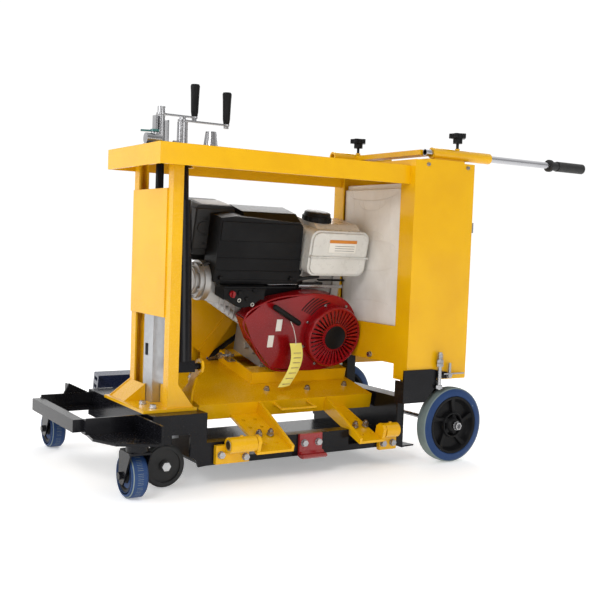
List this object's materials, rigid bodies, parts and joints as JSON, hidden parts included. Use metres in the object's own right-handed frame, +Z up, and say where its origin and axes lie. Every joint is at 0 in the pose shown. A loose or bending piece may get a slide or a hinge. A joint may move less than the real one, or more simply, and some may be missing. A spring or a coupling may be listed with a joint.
{
  "type": "walk-behind concrete saw",
  "caption": "Walk-behind concrete saw with a yellow gantry frame, tilting petrol engine deck, belt-driven blade, water tank and push bar",
  "frame": {"origin": "Centre of the footprint on the floor, under the middle of the machine", "axes": "+X to the rear, along the push bar; +Y to the blade side; +Z up"},
  "size_m": [1.555, 0.6934, 0.9814],
  "materials": {
    "yellow_paint": "smooth gloss powder coat",
    "black_paint": "gloss black enamel",
    "red_paint": "gloss red enamel",
    "blue_paint": "dark blue enamel",
    "zinc": "bright zinc plate",
    "galvanised": "galvanised sheet",
    "cast_alloy": "sand-cast alloy",
    "chrome_bar": "polished chrome",
    "tyre_blue": "elastic rubber, dusty tread",
    "rubber_black": "moulded rubber",
    "black_plastic": "grained black plastic",
    "tank_plastic": "translucent white plastic",
    "black_exhaust": "heat-proof black",
    "blade_steel": "ground steel",
    "tag_paper": "coated card",
    "teal_lever": "dipped plastic"
  },
  "bodies": {
    "frame": {"base_frame": "black_paint", "front_frame": "black_paint", "column": "yellow_paint", "top_beam": "yellow_paint", "tank_housing": "yellow_paint", "water_tank": "tank_plastic", "axle_bracket": "black_paint", "rear_axle": "zinc", "hinge_housings": "yellow_paint", "lashing_hook": "red_paint", "frame_bolts": "zinc", "crank_posts": "zinc", "water_fittings": "zinc", "guide_sleeve": "galvanised"},
    "tank_lid": {"tank_cap": "black_plastic"},
    "valve": {"valve_lever": "teal_lever"},
    "fork_near": {"caster_fork_near": "black_paint"},
    "fork_far": {"caster_fork_far": "black_paint"},
    "cwheel_near": {"caster_wheel_near": "tyre_blue"},
    "cwheel_far": {"caster_wheel_far": "tyre_blue"},
    "guide": {"guide_slide": "galvanised"},
    "gwheel": {"guide_wheel": "rubber_black"},
    "wheel_near": {"rear_tyre_near": "tyre_blue", "rear_hub_near": "black_plastic"},
    "wheel_far": {"rear_tyre_far": "tyre_blue", "rear_hub_far": "black_plastic"},
    "bar": {"push_bar": "chrome_bar", "handle_grip": "rubber_black"},
    "knob_near": {"star_knob_near": "black_plastic"},
    "knob_far": {"star_knob_far": "black_plastic"},
    "crank_1": {"crank_a": "zinc"},
    "grip_1": {"crank_grip_a": "black_plastic"},
    "crank_2": {"crank_b": "zinc"},
    "grip_2": {"crank_grip_b": "black_plastic"},
    "jack_tube": {"jack_upper": "black_paint"},
    "jack_foot": {"jack_lower": "black_paint"},
    "screw": {"jack_screw": "zinc"},
    "deck": {"engine_deck": "yellow_paint", "deck_arms": "yellow_paint", "deck_bolts": "zinc", "sub_base": "yellow_paint", "belt_guard": "yellow_paint", "blade_guard": "blue_paint", "arbor_bearings": "black_exhaust", "drive_belts": "rubber_black", "crankcase": "cast_alloy", "blower_housing": "red_paint", "recoil_cover": "red_paint", "muffler": "black_exhaust", "air_cleaner": "black_plastic", "control_box": "black_plastic", "fuel_tank": "tank_plastic", "hang_tag": "tag_paper"},
    "arbor": {"arbor_shaft": "zinc", "blade": "blade_steel"},
    "crank": {"crankshaft": "zinc"},
    "starter": {"recoil_grip": "black_plastic"},
    "lid": {"fuel_cap": "black_plastic"},
    "throttle": {"throttle_lever": "black_paint"},
    "switch": {"engine_switch": "red_paint"}
  },
  "joints": [
    {"name": "tank_lid_turn", "type": "hinge", "parent": "frame", "child": "tank_lid", "pos_m": [0.2265, -0.17275, 0.79], "axis": [0, 0, 1], "range_deg": [0, 360]},
    {"name": "valve_turn", "type": "hinge", "parent": "frame", "child": "valve", "pos_m": [-0.5835, -0.15475, 0.848], "axis": [0, 0, 1], "range_deg": [0, 90]},
    {"name": "caster_near_swivel", "type": "hinge", "parent": "frame", "child": "fork_near", "pos_m": [-0.6695, -0.30075, 0.128], "axis": [0, 0, 1], "continuous": true},
    {"name": "caster_far_swivel", "type": "hinge", "parent": "frame", "child": "fork_far", "pos_m": [-0.6695, 0.26925, 0.128], "axis": [0, 0, 1], "continuous": true},
    {"name": "caster_near_roll", "type": "hinge", "parent": "fork_near", "child": "cwheel_near", "pos_m": [-0.6695, -0.27575, 0.0525], "axis": [1, 0, 0], "continuous": true},
    {"name": "caster_far_roll", "type": "hinge", "parent": "fork_far", "child": "cwheel_far", "pos_m": [-0.6695, 0.29425, 0.0525], "axis": [1, 0, 0], "continuous": true},
    {"name": "guide_lift", "type": "slide", "parent": "frame", "child": "guide", "axis": [0, 0, 1], "range_m": [0, 0.024]},
    {"name": "guide_roll", "type": "hinge", "parent": "guide", "child": "gwheel", "pos_m": [-0.5685, -0.21875, 0.052], "axis": [0, 1, 0], "continuous": true},
    {"name": "wheel_near_roll", "type": "hinge", "parent": "frame", "child": "wheel_near", "pos_m": [0.2635, -0.30075, 0.1045], "axis": [0, 1, 0], "continuous": true},
    {"name": "wheel_far_roll", "type": "hinge", "parent": "frame", "child": "wheel_far", "pos_m": [0.2635, 0.22225, 0.1045], "axis": [0, 1, 0], "continuous": true},
    {"name": "bar_slide", "type": "slide", "parent": "frame", "child": "bar", "axis": [1, 0, 0], "range_m": [-0.22, 0]},
    {"name": "knob_near_turn", "type": "hinge", "parent": "frame", "child": "knob_near", "pos_m": [0.2675, -0.27875, 0.88], "axis": [0, 0, 1], "range_deg": [0, 720]},
    {"name": "knob_far_turn", "type": "hinge", "parent": "frame", "child": "knob_far", "pos_m": [0.1675, 0.05025, 0.88], "axis": [0, 0, 1], "range_deg": [0, 720]},
    {"name": "crank_a_turn", "type": "hinge", "parent": "frame", "child": "crank_1", "pos_m": [-0.5425, -0.09775, 0.907], "axis": [0, 0, 1], "range_deg": [0, 1080]},
    {"name": "grip_a_spin", "type": "hinge", "parent": "crank_1", "child": "grip_1", "pos_m": [-0.4525, -0.09775, 0.95], "axis": [0, 0, 1], "continuous": true},
    {"name": "crank_b_turn", "type": "hinge", "parent": "frame", "child": "crank_2", "pos_m": [-0.4895, -0.10875, 0.887], "axis": [0, 0, 1], "range_deg": [-10, 1440]},
    {"name": "grip_b_spin", "type": "hinge", "parent": "crank_2", "child": "grip_2", "pos_m": [-0.3675, -0.10875, 0.93], "axis": [0, 0, 1], "continuous": true},
    {"name": "deck_tilt", "type": "hinge", "parent": "frame", "child": "deck", "pos_m": [-0.1735, -0.29275, 0.1015], "axis": [1, 0, 0], "range_deg": [-14, 0]},
    {"name": "jack_swing", "type": "hinge", "parent": "frame", "child": "jack_tube", "pos_m": [-0.4895, -0.10875, 0.785], "axis": [1, 0, 0], "range_deg": [0, 4.3]},
    {"name": "jack_extend", "type": "slide", "parent": "jack_tube", "child": "jack_foot", "axis": [0, -0.0665, -0.9978], "range_m": [0, 0.041]},
    {"name": "jack_screw_turn", "type": "hinge", "parent": "jack_tube", "child": "screw", "pos_m": [-0.4895, -0.11675, 0.665], "axis": [0, 0.0665, 0.9978], "range_deg": [-10, 1440]},
    {"name": "blade_spin", "type": "hinge", "parent": "deck", "child": "arbor", "pos_m": [-0.2235, 0.16293, 0.20603], "axis": [0, 0.9781, 0.2079], "continuous": true},
    {"name": "engine_spin", "type": "hinge", "parent": "deck", "child": "crank", "pos_m": [0.0135, 0.06827, 0.36277], "axis": [0, 0.9781, 0.2079], "continuous": true},
    {"name": "recoil_pull", "type": "slide", "parent": "deck", "child": "starter", "axis": [0, -0.9781, -0.2079], "range_m": [0, 0.3]},
    {"name": "fuel_cap_turn", "type": "hinge", "parent": "deck", "child": "lid", "pos_m": [-0.0405, -0.05253, 0.6714], "axis": [0, -0.2079, 0.9781], "range_deg": [0, 90]},
    {"name": "throttle_sweep", "type": "hinge", "parent": "deck", "child": "throttle", "pos_m": [-0.0255, -0.04928, 0.48296], "axis": [0, -0.2079, 0.9781], "range_deg": [0, 50]},
    {"name": "ignition_switch", "type": "hinge", "parent": "deck", "child": "switch", "pos_m": [-0.3175, -0.08069, 0.45277], "axis": [0, 0.9781, 0.2079], "range_deg": [0, 60]}
  ],
  "couplings": [
    {"joint": "crank_a_turn", "follows": "guide_lift", "rad_per_m": 785.4},
    {"joint": "jack_swing", "follows": "deck_tilt", "ratio": -0.29786},
    {"joint": "jack_extend", "follows": "deck_tilt", "m_per_rad": -0.16493},
    {"joint": "jack_screw_turn", "follows": "deck_tilt", "ratio": -102.86},
    {"joint": "crank_b_turn", "follows": "deck_tilt", "ratio": -102.86},
    {"joint": "engine_spin", "follows": "blade_spin", "ratio": 0.86957}
  ]
}
